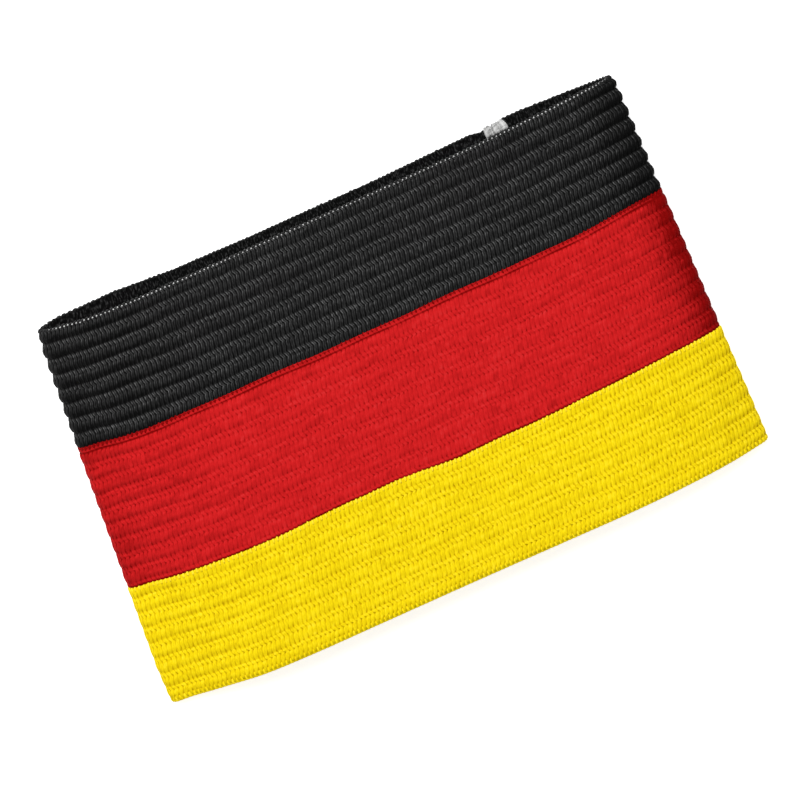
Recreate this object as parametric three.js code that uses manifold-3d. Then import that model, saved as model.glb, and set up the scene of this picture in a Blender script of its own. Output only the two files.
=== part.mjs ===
// Captain armband: a closed sleeve of ribbed elastic in three stripes, lying on its back wall.
// X runs along the flattened loop, Y along the arm with the black rim at +Y, Z up from the surface.
// Lengths are in millimetres. The origin is on the surface, under the middle of the sleeve.

import * as THREE from 'three';
import { mergeVertices } from 'three/addons/utils/BufferGeometryUtils.js';
import Module from 'manifold-3d';

const wasm = await Module();
wasm.setup();

// The loop
const bandHeight = 80;
const blackRimWidth = 122.4;
const yellowRimWidth = 128;
const blackRimShift = 2.8;
const loopHeight = 12.3;
const wallThickness = 1.4;

// The folds at the loop's two ends: the inside radius of each at both rims
const foldRoom = {
  left: { black: 2.2, yellow: 0.8 },
  right: { black: 0.45, yellow: 0.8 },
};
const foldRunIn = 2.4;

// The ribs, which run along the loop
const ribCount = 25;
const ribRelief = 0.35;
const ribGroove = 1.5;
const firstRibCut = 0.12;

// The stripes, counted in ribs from the black rim
const blackRibs = 8;
const redRibs = 9.35;
const stripeGap = 0.3;
const rimRound = 0.6;

// The seam, where the two ends of the strip turn in
const seamPlace = 38.6;
const seamRise = 5.2;
const seamGap = 0.3;
const seamBend = 1.9;
const threadThickness = 0.35;
const threadClearance = 0.3;
const threadFloorClearance = 0.3;

const colors = {
  black: 0x26262a,
  red: 0xd3141c,
  yellow: 0xf8dc12,
  thread: 0xe4e4e2,
};

const ribPitch = bandHeight / ribCount;
const halfHeight = bandHeight / 2;

// The front wall from the left fold to the right fold.
// across: share of half the loop's width. black, yellow: shares of the loop's height at each rim.
const frontRows = [
  { across: -0.93, black: 0.63, yellow: 0.41 },
  { across: -0.88, black: 0.79, yellow: 0.54 },
  { across: -0.8, black: 0.92, yellow: 0.73 },
  { across: -0.7, black: 0.98, yellow: 0.93 },
  { across: -0.55, black: 1, yellow: 1 },
  { across: -0.3, black: 0.975, yellow: 0.985 },
  { across: 0, black: 0.92, yellow: 0.96 },
  { across: 0.3, black: 0.85, yellow: 0.97 },
  { across: 0.55, black: 0.75, yellow: 0.965 },
  { across: 0.7, black: 0.62, yellow: 0.87 },
  { across: 0.8, black: 0.51, yellow: 0.76 },
  { across: 0.88, black: 0.395, yellow: 0.62 },
  { across: 0.94, black: 0.32, yellow: 0.46 },
];
const stepsPerRow = 2;
const bendSteps = 4;

// The outside of a fold as control points, from the floor up: side is -1 on the left and 1 on the right.
function foldPoints(side, end, radius) {
  const near = new THREE.Vector3(end - side * radius * foldRunIn, 0, 0);
  const turns = [-90, -45, 0, 45].map((degrees) => {
    const turn = THREE.MathUtils.degToRad(degrees);
    return new THREE.Vector3(end - side * radius * (1 - Math.cos(turn)), 0, radius * (1 + Math.sin(turn)));
  });
  return [near, ...turns];
}

// One rim's outline as points with outward normals, { x, z, nx, nz }, from one turned-in end to the other.
function rimOutline(rim) {
  const halfWidth = (rim === 'black' ? blackRimWidth : yellowRimWidth) / 2;
  const middle = rim === 'black' ? blackRimShift : 0;
  const leftFace = seamPlace - seamGap / 2;
  const rightFace = seamPlace + seamGap / 2;

  const body = new THREE.CatmullRomCurve3([
    new THREE.Vector3(leftFace - seamBend, 0, 0),
    ...foldPoints(-1, middle - halfWidth, foldRoom.left[rim] + wallThickness),
    ...frontRows.map((row) => new THREE.Vector3(middle + row.across * halfWidth, 0, row[rim] * loopHeight)),
    ...foldPoints(1, middle + halfWidth, foldRoom.right[rim] + wallThickness).reverse(),
    new THREE.Vector3(rightFace + seamBend, 0, 0),
  ], false, 'centripetal');

  const outline = [{ x: leftFace, z: seamRise, nx: 1, nz: 0 }];
  for (let i = 0; i < bendSteps; i++) {
    const turn = (i / bendSteps) * (Math.PI / 2);
    const [nx, nz] = [Math.cos(turn), -Math.sin(turn)];
    outline.push({ x: leftFace - seamBend * (1 - nx), z: seamBend * (1 + nz), nx, nz });
  }
  const steps = (body.points.length - 1) * stepsPerRow;
  for (let i = 0; i <= steps; i++) {
    const point = body.getPoint(i / steps);
    const along = body.getTangent(i / steps);
    // Seen from the black rim the loop runs anticlockwise, so outward is to the right of its way.
    const resting = point.z <= 0;
    outline.push({
      x: point.x,
      z: resting ? 0 : point.z,
      nx: resting ? 0 : -along.z,
      nz: resting ? -1 : along.x,
    });
  }
  for (let i = bendSteps - 1; i >= 0; i--) {
    const turn = (i / bendSteps) * (Math.PI / 2);
    const [nx, nz] = [-Math.cos(turn), -Math.sin(turn)];
    outline.push({ x: rightFace + seamBend * (1 + nx), z: seamBend * (1 + nz), nx, nz });
  }
  outline.push({ x: rightFace, z: seamRise, nx: -1, nz: 0 });
  return outline;
}

const blackOutline = rimOutline('black');
const yellowOutline = rimOutline('yellow');

// A point of the wall: station along the loop, drop down from the black rim, depth in from the rib crests.
function wallPoint(station, drop, depth) {
  const share = drop / bandHeight;
  const from = blackOutline[station];
  const to = yellowOutline[station];
  const mix = (key) => from[key] + (to[key] - from[key]) * share;
  const length = Math.hypot(mix('nx'), mix('nz'));
  return [
    mix('x') - (mix('nx') / length) * depth,
    halfHeight - drop,
    mix('z') - (mix('nz') / length) * depth,
  ];
}

// The grooves between the ribs, as drops from the black rim.
const grooves = Array.from({ length: ribCount }, (_, i) => (i + 1 - firstRibCut) * ribPitch);

// A stripe's wall cut across: { drop, depth } round its ribbed outside and its plain inside.
function stripeProfile(top, bottom) {
  const depthAt = (drop) => {
    const near = Math.min(...grooves.map((groove) => Math.abs(groove - drop)));
    return ribRelief * Math.max(0, 1 - near / (ribGroove / 2));
  };
  const outside = [];
  if (top === 0) {
    outside.push({ drop: 0, depth: rimRound }, { drop: rimRound, depth: 0 });
  } else {
    outside.push({ drop: top, depth: depthAt(top) });
  }
  for (const groove of grooves) {
    for (const drop of [groove - ribGroove / 2, groove, groove + ribGroove / 2]) {
      const last = outside[outside.length - 1].drop;
      if (drop > last + 0.05 && drop < bottom - 0.05) outside.push({ drop, depth: depthAt(drop) });
    }
  }
  outside.push({ drop: bottom, depth: bottom === bandHeight ? rimRound : depthAt(bottom) });
  return [...outside, { drop: bottom, depth: wallThickness }, { drop: top, depth: wallThickness }];
}

// A stripe: its profile carried along every station of the loop, with both turned-in ends closed.
function stripeGeometry(top, bottom) {
  const profile = stripeProfile(top, bottom);
  const stations = blackOutline.length;
  const size = profile.length;
  const positions = [];
  for (let s = 0; s < stations; s++) {
    for (const { drop, depth } of profile) positions.push(...wallPoint(s, drop, depth));
  }
  const indices = [];
  for (let s = 0; s < stations - 1; s++) {
    for (let p = 0; p < size; p++) {
      const next = (p + 1) % size;
      const [a, b, c, d] = [s * size + p, s * size + next, (s + 1) * size + next, (s + 1) * size + p];
      indices.push(a, b, d, b, c, d);
    }
  }
  const shape = profile.map(({ drop, depth }) => new THREE.Vector2(drop, depth));
  const last = (stations - 1) * size;
  const clockwise = THREE.ShapeUtils.isClockWise(shape);
  for (const [a, b, c] of THREE.ShapeUtils.triangulateShape(shape, [])) {
    const [first, second] = clockwise ? [c, b] : [b, c];
    indices.push(a, second, first);
    indices.push(last + a, last + first, last + second);
  }
  const geometry = new THREE.BufferGeometry();
  geometry.setAttribute('position', new THREE.Float32BufferAttribute(positions, 3));
  geometry.setIndex(indices);
  geometry.computeVertexNormals();
  return geometry;
}

function toSolid(geometry) {
  geometry.deleteAttribute('normal');
  geometry.deleteAttribute('uv');
  const merged = mergeVertices(geometry);
  return new wasm.Manifold(new wasm.Mesh({
    numProp: 3,
    vertProperties: new Float32Array(merged.attributes.position.array),
    triVerts: new Uint32Array(merged.index.array),
  }));
}

function toGeometry(solid) {
  const mesh = solid.getMesh();
  const geometry = new THREE.BufferGeometry();
  geometry.setAttribute('position', new THREE.Float32BufferAttribute(mesh.vertProperties, 3));
  geometry.setIndex(new THREE.Uint32BufferAttribute(mesh.triVerts, 1));
  geometry.computeVertexNormals();
  return geometry;
}

// A bar along Y, from its half width across X, its lowest and highest Z and its half length.
function bar(halfWidth, low, high, halfLength, round) {
  const outline = new THREE.Shape();
  outline.moveTo(-halfWidth, low);
  outline.lineTo(halfWidth, low);
  outline.lineTo(halfWidth, high - round);
  if (round > 0) outline.absarc(halfWidth - round, high - round, round, 0, Math.PI / 2);
  outline.lineTo(-halfWidth + round, high);
  if (round > 0) outline.absarc(-halfWidth + round, high - round, round, Math.PI / 2, Math.PI);
  const geometry = new THREE.ExtrudeGeometry(outline, {
    depth: 2 * halfLength,
    bevelEnabled: false,
    curveSegments: 3,
  });
  geometry.rotateX(Math.PI / 2);
  geometry.translate(seamPlace, halfLength, 0);
  return toSolid(geometry);
}

// The white thread over the turned-in ends: a cap along the seam that also closes both rim ends.
function overlockGeometry() {
  const inner = seamGap / 2 + wallThickness + threadClearance;
  const outer = inner + threadThickness;
  const reach = halfHeight + threadClearance;
  const top = seamRise + threadClearance;
  const legFoot = seamBend + threadClearance;
  const cap = bar(outer, threadFloorClearance, top + threadThickness, reach + threadThickness, threadThickness);
  const room = bar(inner, -1, top, reach, 0);
  const underLegs = bar(2 * outer, -1, legFoot, reach, 0);
  return toGeometry(cap.subtract(room).subtract(underLegs));
}

function piece(name, geometry, color, roughness) {
  const material = new THREE.MeshStandardMaterial({ color, roughness, metalness: 0 });
  const mesh = new THREE.Mesh(geometry, material);
  mesh.name = name;
  return mesh;
}

const blackEnd = (blackRibs - firstRibCut) * ribPitch;
const redEnd = blackEnd + redRibs * ribPitch;

const armband = new THREE.Group();
armband.name = 'captain_armband';
armband.add(
  piece('black_stripe', stripeGeometry(0, blackEnd - stripeGap / 2), colors.black, 0.85),
  piece('red_stripe', stripeGeometry(blackEnd + stripeGap / 2, redEnd - stripeGap / 2), colors.red, 0.8),
  piece('yellow_stripe', stripeGeometry(redEnd + stripeGap / 2, bandHeight), colors.yellow, 0.8),
  piece('seam_overlock', overlockGeometry(), colors.thread, 0.9),
);

// The middle of the sleeve's floor area is over the origin.
const bounds = new THREE.Box3().setFromObject(armband);
const centre = bounds.getCenter(new THREE.Vector3());
armband.position.set(-centre.x, -centre.y, 0);
armband.updateMatrixWorld(true);

export default armband;
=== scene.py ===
"""A captain armband: a closed sleeve of knitted, ribbed elastic in black, red and yellow, lying flattened.

The knit is modelled on the flat strip and then laid round the loop. A flat place is (along, -drop, height):
along runs round the loop from one turned-in end to the other, drop runs down from the black rim, and
height is measured out from the rib crests, so the wall's inside is below zero. Lengths are in metres.
"""

from math import cos, pi, sin

import bmesh
import bpy
import numpy as np
from bpy.props import FloatProperty, FloatVectorProperty, IntProperty, PointerProperty
from mathutils import Matrix, Vector


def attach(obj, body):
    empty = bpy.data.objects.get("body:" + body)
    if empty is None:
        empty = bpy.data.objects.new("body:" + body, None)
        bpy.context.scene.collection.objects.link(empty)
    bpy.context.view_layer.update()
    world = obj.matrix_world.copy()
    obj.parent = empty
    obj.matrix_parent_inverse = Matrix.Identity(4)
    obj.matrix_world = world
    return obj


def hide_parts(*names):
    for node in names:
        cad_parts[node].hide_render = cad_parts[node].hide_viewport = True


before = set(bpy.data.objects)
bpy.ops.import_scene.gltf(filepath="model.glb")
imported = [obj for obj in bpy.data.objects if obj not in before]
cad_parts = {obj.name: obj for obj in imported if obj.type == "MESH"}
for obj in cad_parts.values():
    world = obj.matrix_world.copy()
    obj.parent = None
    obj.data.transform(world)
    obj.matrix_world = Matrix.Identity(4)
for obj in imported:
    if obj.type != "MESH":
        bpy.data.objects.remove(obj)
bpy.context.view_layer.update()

bl_info = {
    "name": "Captain Armband",
    "version": (1, 0, 0),
    "blender": (4, 5, 0),
    "location": "View3D > Sidebar > Armband",
    "description": "Builds a ribbed, three-striped captain armband of knitted elastic",
    "category": "Add Mesh",
}

# The front wall from the left fold to the right fold: across is a share of half the loop's width,
# black and yellow are shares of the loop's height at each rim.
FRONT_ROWS = (
    # across, black, yellow
    (-0.93, 0.63, 0.41),
    (-0.88, 0.79, 0.54),
    (-0.8, 0.92, 0.73),
    (-0.7, 0.98, 0.93),
    (-0.55, 1.0, 1.0),
    (-0.3, 0.975, 0.985),
    (0.0, 0.92, 0.96),
    (0.3, 0.85, 0.97),
    (0.55, 0.75, 0.965),
    (0.7, 0.62, 0.87),
    (0.8, 0.51, 0.76),
    (0.88, 0.395, 0.62),
    (0.94, 0.32, 0.46),
)

# How far the back wall's black rim is out of line, by place along X.
BACK_RIM_ROWS = (
    # x, shift along Y
    (-0.0605, -0.0014),
    (-0.058, -0.0006),
    (-0.054, -0.0002),
    (-0.042, 0.0),
    (-0.030, -0.0008),
    (-0.014, -0.0010),
    (0.015, -0.0008),
    (0.026, -0.0004),
    (0.0335, -0.0002),
    (0.036, -0.0006),
    (0.0385, -0.0004),
    (0.0405, 0.0002),
    (0.044, 0.0003),
    (0.054, -0.0001),
    (0.060, -0.0004),
)

# How far the join of red and yellow is out of line on the front wall, by place along X.
JOIN_ROWS = (
    # x, shift along Y
    (-0.057, 0.0),
    (-0.050, -0.0002),
    (-0.040, -0.0002),
    (-0.028, 0.0),
    (-0.0165, 0.0004),
    (-0.005, 0.0002),
    (0.007, -0.0006),
    (0.0185, -0.0002),
    (0.030, 0.0),
    (0.042, 0.0002),
    (0.054, 0.0001),
)

# How strongly the ribs stand out, by place along X: the elastic is stretched smooth over the middle.
RELIEF_ROWS = (
    # x, share of the relief
    (-0.062, 1.0),
    (-0.050, 0.75),
    (-0.036, 0.32),
    (-0.018, 0.13),
    (0.035, 0.13),
    (0.052, 0.3),
    (0.0605, 0.7),
    (0.0635, 1.3),
)

# How much of its painted shade the yarn shows in the folds, by place along X, where the wall turns away from
# the light.
FOLD_SHADE_ROWS = (
    # x, share
    (-0.062, 0.25),
    (-0.058, 0.1),
    (-0.053, 0.0),
    (0.0535, 0.0),
    (0.0565, 0.09),
    (0.0595, 0.36),
    (0.0615, 0.64),
    (0.064, 1.0),
)

# How strongly each stripe shows its ribs, the gaps between its stitches with painted shade in them, painted
# shade in the dips between its single threads, and the painted highlight and shade bands of its ribs, how
# much painted shade it gets towards the ends where its ribs stand out, how much its stitches differ, and how
# much painted shade it gets in
# the folds: black yarn shows them all, red and yellow look smoother.
STRIPE_LOOKS = {
    # relief, open, threads, loops, end shade, mottle, folds
    "black": (1.0, 0.8, 0.8, 1.45, 0.08, 0.05, 0.32),
    "red": (0.45, 0.34, 0.1, 0.2, 0.1, 0.05, 0.47),
    "yellow": (0.29, 0.58, 0.2, 0.33, 0.0, 0.06, 0.0),
}

# One rib of the knit, from one row of gaps down to the next rib's. share: place down the rib.
# height: the rib's own curve. gap: how open the gaps between the stitches are. ridge: how much the
# threads stand out. sideways: how far the stitches are pushed along, as a share of a stitch.
# The last column: painted highlight on the rib's upper slope, which faces the light, and painted shade in the
# grooves and on its lower slope.
RIB_ROWS = (
    # share, height, gap, ridge, sideways, painted light
    (0.0, -1.0, 1.0, 0.8, -0.25, -0.2),
    (0.08, -0.8, 0.5, 0.9, -0.12, 0.14),
    (0.17, -0.62, 0.0, 1.0, 0.0, 0.2),
    (0.27, -0.5, 0.5, 0.9, 0.12, 0.14),
    (0.35, -0.36, 1.0, 0.8, 0.25, 0.08),
    (0.45, -0.12, 0.3, 1.0, 0.18, 0.1),
    (0.64, 0.0, 0.0, 0.9, 0.0, -0.05),
    (0.89, -0.45, 0.4, 0.9, -0.18, -0.3),
)
UPPER_GAP_SHARE = 0.35

# One stitch cut across, from gap to gap: how deep each place lies when the threads stand out in full, and how
# much of its row's painted highlight and shade it shows: one of the two threads gets the most painted
# highlight.
STITCH_COLUMNS = (
    # depth, share of the painted light
    (1.0, 0.3),
    (0.0, 1.8),
    (0.5, 0.7),
    (0.0, 0.6),
)

# How the knit varies, apart from the looks of each stripe.
SLOW_STITCHES = 4  # over how many stitches a row's slow unevenness changes
END_STITCHES = 3  # over how many stitches the unevenness comes in from the strip's two ends
# The pale and dark rows of the ribs are painted highlight and painted shade.
MIDDLE_PALE = 0.08  # what the pale rows of a rib come down to where their contrast is lost
BAND_CONTRAST = (0.7, 0.5)  # of the pale rows: where the ribs are flat, and what full ribs add
GAP_OPEN = (0.85, 0.15)  # the gaps' openness, and how much it varies
GAP_OPEN_LIMITS = (0.3, 1.2)
FULL_OPENNESS = 0.6  # from which openness on a stripe's gaps have their full depth
LIFT_SHARE = 0.5  # how far single stitches sink in, as a share of the unevenness
PULL_WIDTH = 0.00018  # how wide a line is drawn in by a thread that is pulled tight
PULL_TIGHT = (0.9, 0.25)  # how tight that thread is, and how much it varies
PULL_TIGHT_LIMITS = (0.0, 1.2)
PULL_DEPTH = 0.6  # how deep it lies, as a share of the gaps' depth

# The yarn's tone, from 0, its painted shade in the gaps, to 1 at its palest.
EVEN_TONE = 0.5  # of plain yarn outside
# The inside's lower tone is painted shade.
INSIDE_TONE = 0.45  # of the wall's inside
SLOW_TONE = 0.03  # how far it changes with a row's slow unevenness
BIT_TONE = 0.06  # how far it changes from one small thread of a row to the next

# What each yarn is like, apart from its colour.
YARNS = {
    # shade tint, roughness, gloss, lint and highlight, grain
    "black": ((0.1, 0.1, 0.1), 0.6, 0.06, 4.3, 0.7),
    "red": ((0.35, 0.0, 0.0), 0.8, 0.06, 1.06, 0.15),
    "yellow": ((0.62, 0.52, 0.0), 0.8, 0.04, 1.12, 0.4),
    "white": ((0.4, 0.4, 0.4), 0.85, 0.1, 1.5, 1.2),
}

# What each yarn is like inside the loop: matt, and darker than outside, as painted shade for the inside of
# the loop.
INSIDE_SHADED_YARNS = {
    # shade, shade tint, lint and highlight, grain
    "black": (0.17, (0.1, 0.1, 0.1), 2.8, 1.6),
    "red": (0.8, (0.4, 0.2, 0.3), 1.05, 1.0),
    "yellow": (0.8, (0.6, 0.5, 0.1), 1.08, 1.0),
}
INSIDE_ROUGHNESS = 0.95
INSIDE_GLOSS = 0.02

# How much white is added to the palest yarn: partly the fine fibre ends, partly painted highlight.
FIBRE_AND_HIGHLIGHT_HAZE = 0.035

# How far the tone swings with the fibres and with the dye, and how the fibres stand out.
FIBRE_SWING = 0.35
DYE_SWING = 0.16
FIBRE_BUMP = 0.35
FIBRE_HEIGHT = 0.00008

# The inside radius of the left fold and of the right one at each rim, and how far a fold's outline
# starts on the floor before its end, in outside radii.
FOLD_ROOM = {"black": (0.0022, 0.00045), "yellow": (0.0008, 0.0008)}
FOLD_RUN_IN = 2.4

# Points of the rims' outlines: to each gap of the curve, and to each bend at the seam.
CURVE_STEPS = 30
BEND_STEPS = 24

# How far down the sleeve the rims' shifts reach, and how far in from each rim the wall's other moves
# have come up to their full strength, all as shares of its height.
BACK_RIM_REACH = 1 / 6
FRONT_RIM_REACH = 0.03
BLACK_RIM_FADE = 0.05
YELLOW_RIM_FADE = 0.1

# How far up and down the sleeve the join's wander reaches.
JOIN_REACH = 0.004

# The waves that the rows of the knit wander in. A length up the strip below zero slants the other way.
ROW_WAVES = (
    # length along, length up, strength, phase
    (0.047, -0.021, 1.0, 0.0),
    (0.019, 0.034, 0.7, 1.0),
)

# Where along X the left fold swells and the right fold draws in at its corner: from, and over.
SWELL_FROM, SWELL_OVER = -0.045, 0.015
CORNER_FROM, CORNER_OVER = 0.0585, 0.005

# Where along X the small threads of a row sink into the two folds: left of, right of, and over.
SINK_LEFT, SINK_RIGHT, SINK_OVER = -0.0545, 0.0593, 0.003

# How far above the surface the back wall's lowest threads stop, so that the two share no face.
FLOOR_CLEARANCE = 0.00001

STITCH_SEED = 7
UV_PER_METRE = 10.0


class ArmbandSizes(bpy.types.PropertyGroup):
    """Sizes of the loop, its ribs and its stripes"""

    band_height: FloatProperty(
        name="Height", description="From the black rim to the yellow one", default=0.080, unit="LENGTH"
    )
    black_rim_width: FloatProperty(
        name="Black Rim", description="Width of the flattened loop at the black rim", default=0.1224,
        unit="LENGTH",
    )
    yellow_rim_width: FloatProperty(
        name="Yellow Rim", description="Width of the flattened loop at the yellow rim", default=0.128,
        unit="LENGTH",
    )
    black_rim_shift: FloatProperty(
        name="Rim Shift", description="How far right the black rim's middle lies", default=0.0028,
        unit="LENGTH",
    )
    loop_height: FloatProperty(
        name="Loop Height", description="How high the front wall stands", default=0.0123, unit="LENGTH"
    )
    wall: FloatProperty(name="Wall", description="Thickness of the elastic", default=0.0014, unit="LENGTH")
    seam_place: FloatProperty(
        name="Seam", description="Place of the seam along X, in the back wall", default=0.0386, unit="LENGTH"
    )
    seam_rise: FloatProperty(
        name="Seam Rise", description="How high the turned-in ends stand", default=0.0052, unit="LENGTH"
    )
    seam_gap: FloatProperty(
        name="Seam Gap", description="Between the two turned-in ends", default=0.0003, unit="LENGTH"
    )
    seam_bend: FloatProperty(
        name="Seam Bend", description="Outside radius of the bend at each end", default=0.0019, unit="LENGTH"
    )
    rib_count: IntProperty(name="Ribs", description="Ribs from rim to rim", default=25)
    black_ribs: IntProperty(name="Black Ribs", description="Ribs in the black stripe", default=8)
    red_ribs: IntProperty(name="Red Ribs", description="Whole ribs in the red stripe", default=9)
    first_rib_cut: FloatProperty(
        name="First Rib Cut", description="Share of a rib that the black rim cuts off", default=0.12
    )
    join_lift: FloatProperty(
        name="Join Lift", description="How far above its row of gaps the red stripe starts", default=0.0002,
        unit="LENGTH",
    )
    fold_bulge: FloatProperty(
        name="Fold Bulge", description="How far the left fold swells between the rims", default=0.0005,
        unit="LENGTH",
    )
    front_rim_drop: FloatProperty(
        name="Front Rim Drop", description="How far the front wall's black rim is pulled down",
        default=0.00045, unit="LENGTH",
    )
    corner_pull: FloatProperty(
        name="Corner Pull", description="How far the right fold draws in at the black rim", default=0.0007,
        unit="LENGTH",
    )
    row_wander: FloatProperty(
        name="Row Wander", description="How far the rows of the knit wander from straight lines",
        default=0.0001, unit="LENGTH",
    )
    hem_tuck: FloatProperty(
        name="Hem Tuck", description="How far the yellow wall stops short inside its hem", default=0.0005,
        unit="LENGTH",
    )
    last_rib_cut: FloatProperty(
        name="Last Rib Cut", description="How much shorter the last rib is than the others", default=0.0008,
        unit="LENGTH",
    )


class KnitSizes(bpy.types.PropertyGroup):
    """Sizes of the knit"""

    stitches: IntProperty(name="Stitches", description="Stitches round the whole strip", default=285)
    relief: FloatProperty(
        name="Rib Relief", description="Depth of the gaps below the rib crests", default=0.0005, unit="LENGTH"
    )
    ridge_depth: FloatProperty(
        name="Thread Relief", description="Depth of the dips between a rib's threads", default=0.00014,
        unit="LENGTH",
    )
    gap_depth: FloatProperty(
        name="Gap Depth", description="Depth of the gaps between the stitches", default=0.0005, unit="LENGTH"
    )
    unevenness: FloatProperty(
        name="Unevenness", description="Random shift of the threads", default=0.00004, unit="LENGTH"
    )


class ArmbandColors(bpy.types.PropertyGroup):
    """Colours of the yarns"""

    black: FloatVectorProperty(
        name="Black", description="Black yarn", subtype="COLOR", size=3, default=(0.0215, 0.0215, 0.0215)
    )
    red: FloatVectorProperty(
        name="Red", description="Red yarn", subtype="COLOR", size=3, default=(0.54, 0.0105, 0.0115)
    )
    yellow: FloatVectorProperty(
        name="Yellow", description="Yellow yarn", subtype="COLOR", size=3, default=(0.81, 0.615, 0.003)
    )
    white: FloatVectorProperty(
        name="White", description="Overlock and edge thread", subtype="COLOR", size=3,
        default=(0.34, 0.34, 0.335),
    )


class StageSizes(bpy.types.PropertyGroup):
    """The camera and the lights"""

    tilt: FloatProperty(
        name="Tilt", description="Camera's lean from overhead towards the black rim", default=0.2618,
        subtype="ANGLE",
    )
    lean: FloatProperty(
        name="Lean", description="Camera's lean from overhead towards the right", default=-0.01745,
        subtype="ANGLE",
    )
    roll: FloatProperty(
        name="Roll", description="Turn of the picture round its middle", default=-0.4119, subtype="ANGLE"
    )
    distance: FloatProperty(name="Distance", description="Camera's distance", default=2.0, unit="LENGTH")
    lens: FloatProperty(name="Lens", description="Focal length in millimetres", default=461.5)
    aim_right: FloatProperty(
        name="Aim Right", description="Picture's middle, right of the armband's", default=0.00193,
        unit="LENGTH",
    )
    aim_down: FloatProperty(
        name="Aim Down", description="Picture's middle, below the armband's", default=0.00263, unit="LENGTH"
    )
    floor_glow: FloatProperty(
        name="Floor Glow", description="How much the floor shines, as a lit table does", default=0.6
    )
    key_watts: FloatProperty(name="Key", description="Power of the key light", default=17.5, unit="POWER")
    fill: FloatProperty(name="Fill", description="Strength of the light from all round", default=0.45)


def rising(distance, reach):
    """0 where the distance is 0 or less, growing to 1 over reach."""
    return np.clip(distance / reach, 0, 1)


def fading(distance, reach):
    """1 where the distance is 0 or less, falling to 0 over reach."""
    return np.clip(1 - distance / reach, 0, 1)


def table_value(rows, places):
    """What rows of (place, value) give at places."""
    return np.interp(places, *np.array(rows).T)


def curve_through(points, steps):
    """Places on a centripetal Catmull-Rom curve through points, steps to each gap."""
    points = np.asarray(points, float)
    points = np.vstack([2 * points[0] - points[1], points, 2 * points[-1] - points[-2]])
    share = np.linspace(0, 1, steps, endpoint=False)[:, None]
    places = []
    for before, start, end, after in zip(points, points[1:], points[2:], points[3:]):
        gap_before, gap, gap_after = (
            np.linalg.norm(b - a) ** 0.5 for a, b in ((before, start), (start, end), (end, after))
        )
        leaving = (start - before) / gap_before - (end - before) / (gap_before + gap) + (end - start) / gap
        arriving = (end - start) / gap - (after - start) / (gap + gap_after) + (after - end) / gap_after
        places.append(
            (2 * share**3 - 3 * share**2 + 1) * start
            + (share**3 - 2 * share**2 + share) * leaving * gap
            + (3 * share**2 - 2 * share**3) * end
            + (share**3 - share**2) * arriving * gap
        )
    return np.vstack([*places, points[-2:-1]])


def fold_outside(side, end, radius):
    """The outside of a fold from the floor up: side is -1 on the left and 1 on the right."""
    turns = [-pi / 2, -pi / 4, 0, pi / 4]
    arc = [(end - side * radius * (1 - cos(turn)), radius * (1 + sin(turn))) for turn in turns]
    return [(end - side * radius * FOLD_RUN_IN, 0), *arc]


def rim_outline(sizes, rim):
    """One rim's outline as rows of x, z and outward normal, from one turned-in end to the other."""
    width, middle, column = {
        "black": (sizes.black_rim_width, sizes.black_rim_shift, 1),
        "yellow": (sizes.yellow_rim_width, 0, 2),
    }[rim]
    left_room, right_room = FOLD_ROOM[rim]
    half = width / 2
    left_face = sizes.seam_place - sizes.seam_gap / 2
    right_face = sizes.seam_place + sizes.seam_gap / 2
    left_fold = fold_outside(-1, middle - half, left_room + sizes.wall)
    right_fold = fold_outside(1, middle + half, right_room + sizes.wall)
    front = [(middle + row[0] * half, row[column] * sizes.loop_height) for row in FRONT_ROWS]
    body = curve_through(
        [
            (left_face - sizes.seam_bend, 0),
            *left_fold,
            *front,
            *reversed(right_fold),
            (right_face + sizes.seam_bend, 0),
        ],
        steps=CURVE_STEPS,
    )
    way = np.gradient(body, axis=0)
    way /= np.linalg.norm(way, axis=1)[:, None]
    rests = body[:, 1] <= 0
    normals = np.where(rests[:, None], (0.0, -1.0), np.column_stack([-way[:, 1], way[:, 0]]))
    body[rests, 1] = 0

    turn = np.linspace(0, pi / 2, BEND_STEPS, endpoint=False)[:, None]
    left_normals = np.hstack([np.cos(turn), -np.sin(turn)])
    right_normals = left_normals[::-1] * (-1, 1)
    left_bend = (left_face - sizes.seam_bend, sizes.seam_bend) + sizes.seam_bend * left_normals
    right_bend = (right_face + sizes.seam_bend, sizes.seam_bend) + sizes.seam_bend * right_normals
    places = np.vstack(
        [(left_face, sizes.seam_rise), left_bend, body, right_bend, (right_face, sizes.seam_rise)]
    )
    normals = np.vstack([(1, 0), left_normals, normals, right_normals, (-1, 0)])
    return np.hstack([places, normals])


class RibPlan:
    """Where the ribs and their rows of gaps lie, as drops from the black rim."""

    def __init__(self, sizes):
        self.pitch = sizes.band_height / sizes.rib_count
        self.lines = (np.arange(sizes.rib_count + 1) - sizes.first_rib_cut) * self.pitch
        self.lines[-1] -= sizes.last_rib_cut
        self.black_end = self.lines[sizes.black_ribs] - sizes.join_lift
        last_red = sizes.black_ribs + sizes.red_ribs
        self.red_end = self.lines[last_red] + UPPER_GAP_SHARE * self.pitch
        self.pulled_in_red = [
            # drop, how dark: how strong the painted shade of its groove is, and how deep the groove lies
            (self.black_end + 0.0003, 0.3),
            (self.lines[sizes.black_ribs] + 0.27 * self.pitch, 0.6),
            (self.red_end - 0.0001, 1.0),
        ]

    def rows_between(self, top, bottom):
        """The rows of points of a stripe's sheet: drop, height, gap, ridge, sideways and painted highlight
        and shade.
        """
        found = []
        for start, end in zip(self.lines, self.lines[1:]):
            for share, *shape in RIB_ROWS:
                found.append((start + share * (end - start), *shape))
        found.append((self.lines[-1], *RIB_ROWS[0][1:]))
        found = np.array(found)
        # A row as close as this to the stripe's end would only crowd it.
        too_close = self.pitch / 30
        inside = found[(found[:, 0] > top + too_close) & (found[:, 0] < bottom - too_close)]
        ends = [
            [edge, *(np.interp(edge, found[:, 0], column) for column in found[:, 1:].T)]
            for edge in (top, bottom)
        ]
        return np.vstack([ends[:1], inside, ends[1:]])


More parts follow.
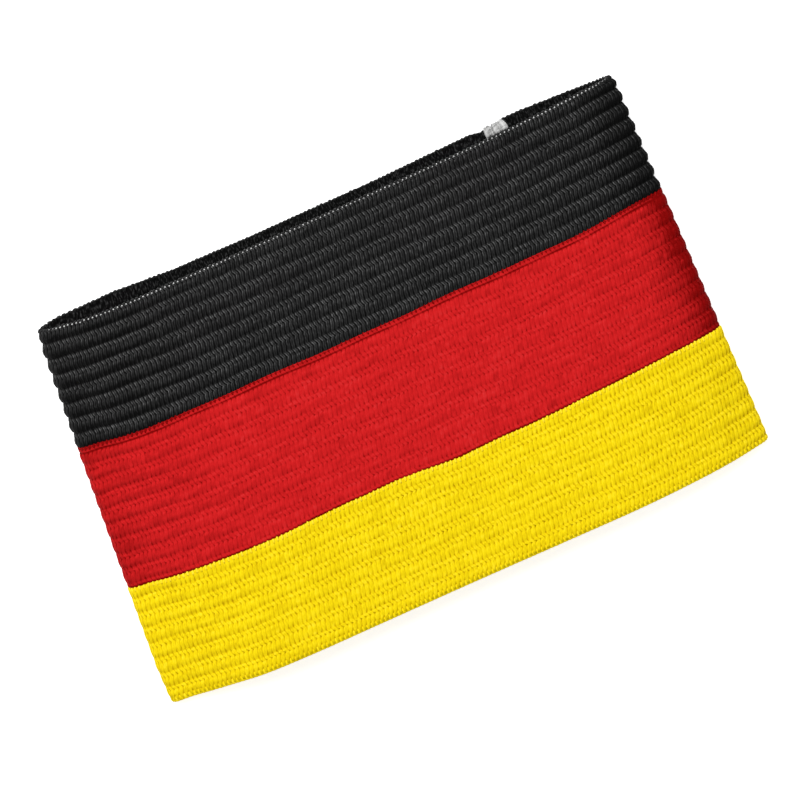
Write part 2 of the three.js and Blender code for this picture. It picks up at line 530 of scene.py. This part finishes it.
class LoopWall:
    """The wall of the flattened loop, which turns flat places into places on the armband."""

    def __init__(self, sizes):
        self.sizes = sizes
        self.join = RibPlan(sizes).red_end
        self.black = rim_outline(sizes, "black")
        self.yellow = rim_outline(sizes, "yellow")
        steps = [
            np.linalg.norm(np.diff(outline[:, :2], axis=0), axis=1) for outline in (self.black, self.yellow)
        ]
        self.along = np.concatenate([[0], np.cumsum(np.mean(steps, axis=0))])
        self.length = self.along[-1]

    def share_along(self, rows, along):
        """The share that rows of (x, share) give at places along the strip."""
        middles = (self.black[:, 0] + self.yellow[:, 0]) / 2
        return table_value(rows, np.interp(along, self.along, middles))

    def place(self, flat):
        """The points of the armband at flat places."""
        share = -flat[:, 1] / self.sizes.band_height
        on_black, on_yellow = (
            np.column_stack([np.interp(flat[:, 0], self.along, column) for column in outline.T])
            for outline in (self.black, self.yellow)
        )
        mixed = on_black * (1 - share[:, None]) + on_yellow * share[:, None]
        normals = mixed[:, 2:] / np.linalg.norm(mixed[:, 2:], axis=1)[:, None]
        x, z = (mixed[:, :2] + normals * flat[:, 2:]).T
        from_rims = np.clip(np.minimum(share / BLACK_RIM_FADE, (1 - share) / YELLOW_RIM_FADE), 0, 1)
        shift = self.shift_up(flat, x, normals[:, 1], share, from_rims)
        return np.column_stack([
            self.folds_moved(x, share, from_rims),
            self.sizes.band_height / 2 + flat[:, 1] + shift,
            # What stands out of the back wall is pressed flat by the surface that it lies on.
            np.maximum(z, FLOOR_CLEARANCE),
        ])

    def shift_up(self, flat, x, facing_up, share, from_rims):
        """How far places lie up along Y from straight rims, rows and joins."""
        on_back = np.clip(0.5 - facing_up, 0, 1)
        on_front = np.clip(facing_up * 2, 0, 1)
        shift = table_value(BACK_RIM_ROWS, x) * on_back * fading(share, BACK_RIM_REACH) ** 2
        shift -= self.sizes.front_rim_drop * on_front * fading(share, FRONT_RIM_REACH)
        by_join = np.exp(-(((flat[:, 1] + self.join) / JOIN_REACH) ** 2))
        shift += table_value(JOIN_ROWS, x) * on_front * by_join
        waves = sum(
            strength * np.sin(2 * pi * (flat[:, 0] / along + flat[:, 1] / up) + phase)
            for along, up, strength, phase in ROW_WAVES
        )
        return shift + self.sizes.row_wander * from_rims * waves

    def folds_moved(self, x, share, from_rims):
        """Places along X once the left fold has swelled and the right one's corner is drawn in."""
        bulge = self.sizes.fold_bulge * from_rims * rising(SWELL_FROM - x, SWELL_OVER)
        by_corner = rising(x - CORNER_FROM, CORNER_OVER)
        pulled_in = self.sizes.corner_pull * by_corner * fading(share, FRONT_RIM_REACH) ** 2
        return x - bulge - pulled_in


def new_piece(name, bm):
    """An object of that name from a bmesh, linked to the scene."""
    mesh = bpy.data.meshes.new(name)
    bm.to_mesh(mesh)
    bm.free()
    piece = bpy.data.objects.new(name, mesh)
    bpy.context.scene.collection.objects.link(piece)
    return piece


def add_thread_bit(bm, width, length, depth, sides, rings, plump=0.45, matrix=None):
    """A short length of thread with closed, rounded ends, lying along Y."""
    bit = bmesh.ops.create_uvsphere(bm, u_segments=sides, v_segments=rings, radius=1)["verts"]
    for vert in bit:
        across = vert.co.xy
        # The two poles stay where they are.
        if across.length > 0.01:
            vert.co.xy = across * across.length ** (plump - 1)
    lying = Matrix.Diagonal((width / 2, length / 2, depth / 2, 1)) @ Matrix.Rotation(pi / 2, 4, "X")
    bmesh.ops.transform(bm, matrix=(matrix or Matrix()) @ lying, verts=bit)


def repeat_piece(piece, *runs):
    """Repeats a piece with Array modifiers, a run being (count, offset), and makes the copies real."""
    for count, offset in runs:
        array = piece.modifiers.new("repeat", "ARRAY")
        array.count = count
        array.use_relative_offset = False
        array.use_constant_offset = True
        array.constant_offset_displace = offset
    depsgraph = bpy.context.evaluated_depsgraph_get()
    repeated = bpy.data.meshes.new_from_object(piece.evaluated_get(depsgraph))
    unit = piece.data
    piece.modifiers.clear()
    piece.data = repeated
    bpy.data.meshes.remove(unit)
    repeated.name = piece.name


def vertex_places(mesh):
    """The mesh's points as an array of rows."""
    places = np.empty(len(mesh.vertices) * 3)
    mesh.vertices.foreach_get("co", places)
    return places.reshape(-1, 3)


def put_in_place(piece, places, strip_places, tone):
    """Moves a piece's points to places, and gives it the strip map and the tone that its yarn reads."""
    mesh = piece.data
    corners = np.empty(len(mesh.loops), np.int32)
    mesh.loops.foreach_get("vertex_index", corners)
    strip = mesh.uv_layers.new(name="strip")
    strip.data.foreach_set("uv", (strip_places[corners] * UV_PER_METRE).astype(np.float32).ravel())
    tones = mesh.attributes.new("tone", "FLOAT", "POINT")
    tones.data.foreach_set("value", np.broadcast_to(tone, len(places)).astype(np.float32))
    mesh.vertices.foreach_set("co", places.astype(np.float32).ravel())
    mesh.shade_smooth()
    mesh.update()


def lay_on_wall(piece, wall, flat, tone):
    """Lays a flat piece round the loop."""
    put_in_place(piece, wall.place(flat), flat[:, :2], tone)


def smooth_noise(rng, count, reach):
    """Random numbers round 0 that change slowly, over about reach steps."""
    margin = 3 * reach
    raw = rng.normal(size=count + 2 * margin)
    window = np.hanning(2 * reach + 1)
    smooth = np.convolve(raw, window / window.sum(), mode="same")[margin : margin + count]
    return smooth / max(smooth.std(), 1e-9)


def strip_noise(tree, strip, scale, detail):
    """Noise that follows the flat strip, finer along it or across it as scale says."""
    drawn_out = tree.nodes.new("ShaderNodeMapping")
    drawn_out.inputs["Scale"].default_value = (*scale, 1)
    tree.links.new(strip.outputs["UV"], drawn_out.inputs["Vector"])
    noise = tree.nodes.new("ShaderNodeTexNoise")
    noise.inputs["Scale"].default_value = 1.0
    noise.inputs["Detail"].default_value = detail
    tree.links.new(drawn_out.outputs["Vector"], noise.inputs["Vector"])
    return noise.outputs["Fac"]


def yarn_material(name, color, shade_tint, roughness, gloss, lint_and_highlight, grain):
    """A knitted yarn: paler and darker by its tone, with fibres along the thread and a soft gloss.

    The tone holds random unevenness, and painted highlight and painted shade.
    """
    material = bpy.data.materials.new(name)
    material.use_nodes = True
    tree = material.node_tree
    nodes = tree.nodes
    link = tree.links.new
    shader = nodes["Principled BSDF"]
    shader.inputs["Roughness"].default_value = roughness
    shader.inputs["Specular IOR Level"].default_value = gloss

    tone = nodes.new("ShaderNodeAttribute")
    tone.attribute_name = "tone"
    strip = nodes.new("ShaderNodeUVMap")
    strip.uv_map = "strip"

    # Each noise swings round a half, and moves the tone up and down by its own swing.
    level = tone.outputs["Fac"]
    fibres = strip_noise(tree, strip, (900, 160), 3.0)
    strokes = strip_noise(tree, strip, (330, 110), 1.0)
    dye = strip_noise(tree, strip, (14, 14), 2.0)
    for noise, swing in ((fibres, FIBRE_SWING), (strokes, grain), (dye, DYE_SWING)):
        around_zero = nodes.new("ShaderNodeMath")
        around_zero.operation = "SUBTRACT"
        link(noise, around_zero.inputs[0])
        around_zero.inputs[1].default_value = 0.5
        moved = nodes.new("ShaderNodeMath")
        moved.operation = "MULTIPLY_ADD"
        link(around_zero.outputs["Value"], moved.inputs[0])
        moved.inputs[1].default_value = swing
        link(level, moved.inputs[2])
        level = moved.outputs["Value"]

    # The ramp runs from the painted shade colour at 0 through the yarn's own colour at a half to the palest
    # colour at 1, which is partly fibre ends and partly painted highlight.
    shades = nodes.new("ShaderNodeValToRGB")
    ramp = shades.color_ramp
    ramp.elements[0].position = 0.0
    ramp.elements[0].color = (*[channel * share for channel, share in zip(color, shade_tint)], 1)
    ramp.elements[1].position = 1.0
    ramp.elements[1].color = (*[min(1, channel * lint_and_highlight + FIBRE_AND_HIGHLIGHT_HAZE) for channel in color], 1)
    body = ramp.elements.new(0.5)
    body.color = (*color, 1)
    link(level, shades.inputs["Fac"])
    link(shades.outputs["Color"], shader.inputs["Base Color"])

    bump = nodes.new("ShaderNodeBump")
    bump.inputs["Strength"].default_value = FIBRE_BUMP
    bump.inputs["Distance"].default_value = FIBRE_HEIGHT
    link(fibres, bump.inputs["Height"])
    link(bump.outputs["Normal"], shader.inputs["Normal"])
    return material


def yarn(stripe):
    """The material of a stripe's yarn or of the white thread, made once."""
    name = f"{stripe}_yarn"
    if name in bpy.data.materials:
        return bpy.data.materials[name]
    color = tuple(getattr(bpy.context.scene.armband_colors, stripe))
    return yarn_material(name, color, *YARNS[stripe])


def finish_piece(piece, stripe):
    """Gives a piece its yarn and its body."""
    piece.data.materials.clear()
    piece.data.materials.append(yarn(stripe))
    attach(piece, "root")


def stripe_extents(plan, sizes):
    """Each stripe's top and bottom, as drops from the black rim."""
    return {
        "black": (0.0, plan.black_end),
        "red": (plan.black_end, plan.red_end),
        "yellow": (plan.red_end, sizes.band_height - sizes.hem_tuck),
    }


class ARMBAND_OT_walls(bpy.types.Operator):
    """Lay the three stripes' ribbed elastic round the loop"""

    bl_idname = "armband.walls"
    bl_label = "Stripe Walls"

    def execute(self, context):
        sizes = context.scene.armband_sizes
        knit = context.scene.knit_sizes
        wall = LoopWall(sizes)
        plan = RibPlan(sizes)
        for number, (stripe, (top, bottom)) in enumerate(stripe_extents(plan, sizes).items()):
            rng = np.random.default_rng(STITCH_SEED + number)
            rows = plan.rows_between(top, bottom)
            pulled = plan.pulled_in_red if stripe == "red" else []
            looks = STRIPE_LOOKS[stripe]
            piece = self.ribbed_sheet(f"{stripe}_wall", rows, looks, pulled, sizes, knit, wall, rng)
            finish_piece(piece, stripe)
            outside_faces = knit.stitches * len(STITCH_COLUMNS) * (len(rows) - 1)
            self.line_inside(piece, stripe, outside_faces)
            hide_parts(f"{stripe}_stripe")
        return {"FINISHED"}

    def line_inside(self, piece, stripe, outside_faces):
        """Gives the faces after the outside ones a darker copy of the yarn: painted shade for the inside of
        the loop.
        """
        shade, shade_tint, lint_and_highlight, grain = INSIDE_SHADED_YARNS[stripe]
        color = [shade * channel for channel in getattr(bpy.context.scene.armband_colors, stripe)]
        inside = yarn_material(
            f"{stripe}_inside_yarn", color, shade_tint, INSIDE_ROUGHNESS, INSIDE_GLOSS, lint_and_highlight, grain
        )
        piece.data.materials.append(inside)
        slots = np.zeros(len(piece.data.polygons), np.int32)
        slots[outside_faces:] = 1
        piece.data.polygons.foreach_set("material_index", slots)

    def ribbed_sheet(self, name, rows, looks, pulled, sizes, knit, wall, rng):
        """A stripe's closed sheet: knitted outside, plain inside, laid round the loop.

        pulled are the threads that are pulled tight into the knit, where colours join: drop and strength. The
        strength sets how deep their groove lies and how strong the painted shade in it is.
        """
        relief, openness, threads, loops, end_shade, mottle, folds = looks
        per_stitch = len(STITCH_COLUMNS)
        columns = knit.stitches * per_stitch
        inside_rows = 6
        piece = new_piece(name, self.slab(columns, len(rows) - 1, inside_rows))
        places = vertex_places(piece.data)
        outside = places[:, 2] > 0
        column = np.rint((places[:, 0] + 1) / 2 * columns).astype(int)
        row = np.rint((1 - places[:, 1]) / 2 * (len(rows) - 1)).astype(int)
        drop, height, gap, ridge, sideways, highlight_and_shade = rows[row].T
        stitch = wall.length / knit.stitches
        phase = column % per_stitch
        number = column // per_stitch

        # Each stitch of each row has its own small unevenness, and each row a slow one of its own.
        per_row = knit.stitches + 1
        push, lift, shade = rng.normal(size=(3, len(rows), per_row))[:, row, number]
        slow = np.array([smooth_noise(rng, per_row, SLOW_STITCHES) for _ in rows])[row, number]

        in_from_end = rising(np.minimum(column, columns - column), END_STITCHES * per_stitch)
        even_along = column * stitch / per_stitch
        along = even_along + in_from_end * (sideways * stitch + (push + slow) * knit.unevenness)
        depth, light_share = np.array(STITCH_COLUMNS)[phase].T
        stands_out = wall.share_along(RELIEF_ROWS, along)
        # The ribs' painted highlight and shade bands are weaker where the elastic is stretched smooth and the
        # ribs are flat.
        contrast = BAND_CONTRAST[0] + BAND_CONTRAST[1] * stands_out
        banded = np.where(highlight_and_shade < 0, highlight_and_shade * stands_out, MIDDLE_PALE + (highlight_and_shade - MIDDLE_PALE) * contrast)
        opened = np.clip(GAP_OPEN[0] + GAP_OPEN[1] * slow + GAP_OPEN[1] * lift, *GAP_OPEN_LIMITS)
        in_gap = gap * (phase == 0) * opened
        tightness = np.clip(PULL_TIGHT[0] + PULL_TIGHT[1] * slow, *PULL_TIGHT_LIMITS)
        tight = np.zeros(len(drop))
        for place, strength in pulled:
            tight += strength * np.exp(-(((drop - place) / PULL_WIDTH) ** 2)) * tightness
        face = (
            height * knit.relief * relief * stands_out
            - depth * ridge * knit.ridge_depth * relief
            - in_gap * knit.gap_depth * min(1, openness / FULL_OPENNESS)
            - np.abs(lift) * knit.unevenness * LIFT_SHARE
            - tight * knit.gap_depth * PULL_DEPTH
        )
        laid = np.column_stack([
            np.where(outside, along, even_along),
            -drop,
            np.where(outside, face, -sizes.wall),
        ])
        # The tone: random unevenness, the ribs' painted highlight and shade bands, and painted shade in the
        # gaps, in the dips between the threads, along the threads pulled tight, towards the ends where the
        # ribs stand out, and in the folds.
        tone = (
            EVEN_TONE + mottle * shade + SLOW_TONE * slow + loops * (banded * light_share) - openness * in_gap
            - threads * depth * ridge - tight - end_shade * stands_out
            - folds * wall.share_along(FOLD_SHADE_ROWS, along)
        )
        lay_on_wall(piece, wall, laid, np.where(outside, tone, INSIDE_TONE))
        return piece

    def slab(self, columns, rows, back_rows):
        """A closed slab, 2 by 2, with a fine grid above zero and a coarser one below it."""
        bm = bmesh.new()
        for segments, height in ((rows, 0.5), (back_rows, -0.5)):
            bmesh.ops.create_grid(
                bm, x_segments=columns, y_segments=segments, size=1,
                matrix=Matrix.Translation((0, 0, height)),
            )
        border = [edge for edge in bm.edges if edge.is_boundary]
        for side in (-1, 1):
            pair = [edge for edge in border if all(abs(vert.co.y - side) < 1e-6 for vert in edge.verts)]
            bmesh.ops.bridge_loops(bm, edges=pair)
        bmesh.ops.holes_fill(bm, edges=[edge for edge in bm.edges if edge.is_boundary], sides=0)
        bmesh.ops.recalc_face_normals(bm, faces=bm.faces[:])
        return bm


def row_of_bits(
    name, wall, knit, bit, drop, height, rng, shift=0.0, tone=0.5, spin=0.0, even=1.0, sunk_in_folds=0.0
):
    """A row of one short thread to each stitch, all round the loop.

    bit is a thread's (width, length, depth, sides, rings). shift moves the row along by a share of a
    stitch, spin slants its threads, even says how many times more even than the knit it is, and
    sunk_in_folds how far it sinks at the folds.
    """
    stitch = wall.length / knit.stitches
    bm = bmesh.new()
    add_thread_bit(bm, *bit, matrix=Matrix.Rotation(spin, 4, "Z"))
    unit_size = len(bm.verts)
    piece = new_piece(name, bm)
    repeat_piece(piece, (knit.stitches, (stitch, 0, 0)))
    flat = vertex_places(piece.data)
    copy = np.arange(len(flat)) // unit_size
    jitter = rng.normal(size=(3, knit.stitches))[:, copy]
    flat[:, 0] += shift * stitch + jitter[0] * knit.unevenness / even
    flat[:, 1] += -drop + jitter[1] * knit.unevenness / even
    x = wall.place(np.column_stack([(copy + shift) * stitch, np.zeros((len(flat), 2))]))[:, 0]
    in_fold = rising(np.maximum(SINK_LEFT - x, x - SINK_RIGHT), SINK_OVER)
    flat[:, 2] += height - sunk_in_folds * in_fold
    lay_on_wall(piece, wall, flat, tone + BIT_TONE * jitter[2])
    return piece


class ARMBAND_OT_rim_loops(bpy.types.Operator):
    """Lay the loops of the black rim, and the white edge thread that shows between them"""

    bl_idname = "armband.rim_loops"
    bl_label = "Black Rim Loops"

    def execute(self, context):
        sizes = context.scene.armband_sizes
        knit = context.scene.knit_sizes
        wall = LoopWall(sizes)
        stitch = wall.length / knit.stitches
        rng = np.random.default_rng(STITCH_SEED + 20)
        loops = row_of_bits(
            "black_rim_loops", wall, knit,
            (0.9 * stitch, 0.0009, sizes.wall * 0.96, 6, 6),
            drop=0.00022, height=-sizes.wall * 0.52, tone=0.2, rng=rng,
        )
        finish_piece(loops, "black")
        dots = row_of_bits(
            "white_edge_thread", wall, knit,
            (0.32 * stitch, 0.00032, 0.00032, 6, 4),
            drop=0.00006, height=-0.00022, shift=0.5, tone=1.4, rng=rng, sunk_in_folds=0.0008,
        )
        finish_piece(dots, "white")
        return {"FINISHED"}


class ARMBAND_OT_stripe_joins(bpy.types.Operator):
    """Lay the threads where one stripe's colour ends and the next begins"""

    bl_idname = "armband.stripe_joins"
    bl_label = "Stripe Joins"

    def execute(self, context):
        sizes = context.scene.armband_sizes
        knit = context.scene.knit_sizes
        wall = LoopWall(sizes)
        plan = RibPlan(sizes)
        stitch = wall.length / knit.stitches
        rng = np.random.default_rng(STITCH_SEED + 30)
        # The red loops at the join take the darkest tone: painted shade of the groove that they lie sunk in.
        teeth = row_of_bits(
            "red_top_loops", wall, knit,
            (0.55 * stitch, 0.0010, 0.0004, 6, 5),
            drop=plan.black_end + 0.0002, height=-0.00026, tone=0.0, rng=rng, spin=-0.45,
            sunk_in_folds=0.0001,
        )
        finish_piece(teeth, "red")
        # The yellow loops at the join take a pale tone: painted highlight on their raised tips.
        teeth = row_of_bits(
            "yellow_top_loops", wall, knit,
            (0.55 * stitch, 0.0010, 0.0006, 6, 5),
            drop=plan.red_end + 0.0003, height=-0.0001, tone=0.8, rng=rng, sunk_in_folds=0.0002,
        )
        finish_piece(teeth, "yellow")
        return {"FINISHED"}


class ARMBAND_OT_rolled_hem(bpy.types.Operator):
    """Lay the rolled edge of the yellow rim"""

    bl_idname = "armband.rolled_hem"
    bl_label = "Rolled Hem"

    def execute(self, context):
        sizes = context.scene.armband_sizes
        knit = context.scene.knit_sizes
        wall = LoopWall(sizes)
        stitch = wall.length / knit.stitches
        rng = np.random.default_rng(STITCH_SEED + 40)
        hem = row_of_bits(
            "yellow_rolled_hem", wall, knit,
            (1.7 * stitch, 0.0013, sizes.wall * 0.95, 8, 6),
            drop=sizes.band_height - 0.00065, height=-sizes.wall * 0.54, tone=0.5, rng=rng, even=6.0,
        )
        finish_piece(hem, "yellow")
        return {"FINISHED"}


class ARMBAND_OT_seam_overlock(bpy.types.Operator):
    """Wind the white overlock thread over the seam's turned-in ends"""

    bl_idname = "armband.seam_overlock"
    bl_label = "Seam Overlock"

    def execute(self, context):
        sizes = context.scene.armband_sizes
        finish_piece(self.wound_thread(sizes), "white")
        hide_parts("seam_overlock")
        finish_piece(self.end_tails(sizes), "white")
        return {"FINISHED"}

    def wound_thread(self, sizes):
        """The wraps over the edge, side by side from rim to rim."""
        radius = 0.00032
        pitch = 0.00056
        # The thread bends over the edge's two corners, and ends a little above the wall's own bends.
        bend = 0.00045
        half_gap = sizes.seam_gap / 2 + sizes.wall + radius
        foot = sizes.seam_bend + 0.0006
        shoulder = sizes.seam_rise + radius - bend
        # How unevenly it is wound: along the seam, in width and in height.
        lean_by, widen_by, lift_by = 0.00008, 0.03, 0.00008
        bm = bmesh.new()
        ring = bmesh.ops.create_circle(
            bm, cap_ends=False, segments=6, radius=radius,
            matrix=Matrix.Translation((-half_gap, 0, foot)),
        )["verts"]
        first_ring = list(dict.fromkeys(edge for vert in ring for edge in vert.link_edges))
        risen = self.draw_on(bm, first_ring, (0, 0, shoulder - foot))
        over = self.bend_over(bm, risen, (bend - half_gap, 0, shoulder))
        across = self.draw_on(bm, over, (2 * (half_gap - bend), 0, 0))
        turned = self.bend_over(bm, across, (half_gap - bend, 0, shoulder))
        last_ring = self.draw_on(bm, turned, (0, 0, foot - shoulder))
        bmesh.ops.edgeloop_fill(bm, edges=first_ring)
        bmesh.ops.edgeloop_fill(bm, edges=last_ring)
        bmesh.ops.remove_doubles(bm, verts=bm.verts[:], dist=1e-6)
        bmesh.ops.recalc_face_normals(bm, faces=bm.faces[:])
        unit_size = len(bm.verts)
        piece = new_piece("seam_wraps", bm)
        count = int(sizes.band_height / pitch)
        repeat_piece(piece, (count, (0, -pitch, 0)))
        places = vertex_places(piece.data)
        rng = np.random.default_rng(STITCH_SEED + 50)
        wrap = np.arange(len(places)) // unit_size
        jitter = rng.normal(size=(3, count))[:, wrap]
        lean = rng.normal(size=count)[wrap] * lean_by
        places[:, 1] += sizes.band_height / 2 - pitch / 2 + lean * places[:, 0] / half_gap
        places[:, 0] *= 1 + widen_by * jitter[0]
        places[:, 0] += sizes.seam_place
        places[:, 2] += lift_by * jitter[1]
        self.put_over_seam(piece, places, 0.6 + 0.1 * jitter[2])
        return piece

    def draw_on(self, bm, edges, way):
        """Carries a thread on in a straight line from the ring at its end, and returns its new end."""
        drawn = bmesh.ops.extrude_edge_only(bm, edges=edges)["geom"]
        verts = [item for item in drawn if isinstance(item, bmesh.types.BMVert)]
        bmesh.ops.translate(bm, verts=verts, vec=way)
        return [item for item in drawn if isinstance(item, bmesh.types.BMEdge)]

    def bend_over(self, bm, edges, centre):
        """Turns a thread a quarter round to the right from the ring at its end, and returns its new end."""
        verts = list(dict.fromkeys(vert for edge in edges for vert in edge.verts))
        turned = bmesh.ops.spin(
            bm, geom=verts + edges, cent=centre, axis=(0, 1, 0), dvec=(0, 0, 0), angle=pi / 2, steps=3,
            use_duplicate=False,
        )["geom_last"]
        return [item for item in turned if isinstance(item, bmesh.types.BMEdge)]

    def end_tails(self, sizes):
        """The thread drawn down over the ends of the seam at both rims."""
        width, height, depth = 0.00074, 0.0057, 0.00088
        foot = 0.001
        count = 12
        spacing = 0.0038 / (count - 1)
        span = sizes.band_height + 0.0001
        # The tails fan out upwards, from between the two bends of the wall, and lean in over its edge.
        fan_out = 0.12
        lean_in, lean_from = 0.0014, 0.4
        # How unevenly they lie: from side to side, in slant and in how far they stand out.
        aside_by, slant_by, out_by = 0.00006, 0.00015, 0.0001
        bm = bmesh.new()
        add_thread_bit(
            bm, width, height, depth, sides=8, rings=9, plump=0.35, matrix=Matrix.Rotation(pi / 2, 4, "X")
        )
        unit_size = len(bm.verts)
        piece = new_piece("seam_end_threads", bm)
        repeat_piece(piece, (count, (spacing, 0, 0)), (2, (0, -span, 0)))
        places = vertex_places(piece.data)
        rng = np.random.default_rng(STITCH_SEED + 60)
        bit = np.arange(len(places)) // unit_size
        jitter = rng.normal(size=(4, 2 * count))[:, bit]
        # How far up a tail each place is, from -1 to 1, and which rim it is at.
        rise = places[:, 2] / (height / 2)
        end = np.where(bit < count, 1, -1)
        places[:, 0] = (places[:, 0] - spacing * (count - 1) / 2) * (1 + fan_out * rise)
        places[:, 0] += sizes.seam_place + jitter[0] * aside_by + jitter[1] * slant_by * rise
        leaned = lean_in * np.clip(rise - lean_from, 0, 1) ** 2
        places[:, 1] += span / 2 + end * (jitter[2] * out_by - leaned)
        places[:, 2] += height / 2 + foot
        self.put_over_seam(piece, places, 0.45 + 0.13 * jitter[3])
        return piece

    def put_over_seam(self, piece, places, tone):
        """Puts a piece of the seam's thread in place, with its map running along the seam and over it."""
        put_in_place(piece, places, np.column_stack([places[:, 1], places[:, 0] + places[:, 2]]), tone)


class ARMBAND_OT_stage(bpy.types.Operator):
    """Set the floor, the lights and the camera"""

    bl_idname = "armband.stage"
    bl_label = "Stage"

    def execute(self, context):
        stage = context.scene.stage_sizes
        self.floor(stage.floor_glow)
        self.camera(context.scene, stage)
        self.light("key_light", place=(-0.15, 0.75, 1.0), size=0.8, watts=stage.key_watts)
        world = bpy.data.worlds.new("studio")
        context.scene.world = world
        world.use_nodes = True
        background = world.node_tree.nodes["Background"]
        background.inputs["Color"].default_value = (1, 1, 1, 1)
        background.inputs["Strength"].default_value = stage.fill
        context.scene.view_settings.view_transform = "Standard"
        return {"FINISHED"}

    def floor(self, glow):
        """A wide white surface that glows by as much as glow says."""
        bm = bmesh.new()
        bmesh.ops.create_grid(bm, x_segments=1, y_segments=1, size=6)
        floor = new_piece("floor", bm)
        paper = bpy.data.materials.new("pale_floor")
        paper.use_nodes = True
        shader = paper.node_tree.nodes["Principled BSDF"]
        shader.inputs["Base Color"].default_value = (0.92, 0.92, 0.92, 1)
        shader.inputs["Roughness"].default_value = 0.9
        shader.inputs["Specular IOR Level"].default_value = 0.1
        shader.inputs["Emission Color"].default_value = (1, 1, 1, 1)
        shader.inputs["Emission Strength"].default_value = glow
        floor.data.materials.append(paper)

    def camera(self, scene, stage):
        """A camera with a long lens, leaning from overhead and turned as in the picture."""
        towards = Vector((
            sin(stage.lean),
            sin(stage.tilt) * cos(stage.lean),
            cos(stage.tilt) * cos(stage.lean),
        ))
        up = (Vector((0, 1, 0)) - towards * towards.y).normalized()
        right = up.cross(towards)
        picture_right = cos(stage.roll) * right + sin(stage.roll) * up
        picture_up = cos(stage.roll) * up - sin(stage.roll) * right
        data = bpy.data.cameras.new("camera")
        data.lens = stage.lens
        data.sensor_width = 36
        data.clip_end = 20
        camera = bpy.data.objects.new("camera", data)
        scene.collection.objects.link(camera)
        place = picture_right * stage.aim_right - picture_up * stage.aim_down + towards * stage.distance
        turned = Matrix((picture_right, picture_up, towards)).transposed().to_4x4()
        camera.matrix_world = Matrix.Translation(place) @ turned
        scene.camera = camera

    def light(self, name, place, size, watts):
        """A round, soft light that looks at the armband."""
        data = bpy.data.lights.new(name, "AREA")
        data.shape = "DISK"
        data.size = size
        data.energy = watts
        light = bpy.data.objects.new(name, data)
        bpy.context.scene.collection.objects.link(light)
        light.location = place
        light.rotation_euler = Vector(place).to_track_quat("Z", "Y").to_euler()


class ARMBAND_PT_panel(bpy.types.Panel):
    """Sizes, colours and steps of the armband"""

    bl_label = "Captain Armband"
    bl_space_type = "VIEW_3D"
    bl_region_type = "UI"
    bl_category = "Armband"

    def draw(self, context):
        layout = self.layout
        for name in ("armband_sizes", "knit_sizes", "armband_colors", "stage_sizes"):
            group = getattr(context.scene, name)
            box = layout.box()
            for prop in group.bl_rna.properties:
                if prop.identifier not in {"rna_type", "name"}:
                    box.prop(group, prop.identifier)
        for step in STEPS:
            layout.operator(step.bl_idname)


GROUPS = {
    "armband_sizes": ArmbandSizes,
    "knit_sizes": KnitSizes,
    "armband_colors": ArmbandColors,
    "stage_sizes": StageSizes,
}

STEPS = (
    ARMBAND_OT_walls,
    ARMBAND_OT_rim_loops,
    ARMBAND_OT_stripe_joins,
    ARMBAND_OT_rolled_hem,
    ARMBAND_OT_seam_overlock,
    ARMBAND_OT_stage,
)


def register():
    for cls in (*GROUPS.values(), *STEPS, ARMBAND_PT_panel):
        bpy.utils.register_class(cls)
    for name, group in GROUPS.items():
        setattr(bpy.types.Scene, name, PointerProperty(type=group))


def unregister():
    for name in GROUPS:
        delattr(bpy.types.Scene, name)
    for cls in (ARMBAND_PT_panel, *reversed(STEPS), *reversed(GROUPS.values())):
        bpy.utils.unregister_class(cls)


def main():
    register()
    bpy.ops.armband.walls()
    bpy.ops.armband.rim_loops()
    bpy.ops.armband.stripe_joins()
    bpy.ops.armband.rolled_hem()
    bpy.ops.armband.seam_overlock()
    bpy.ops.armband.stage()


if __name__ == "__main__":
    main()
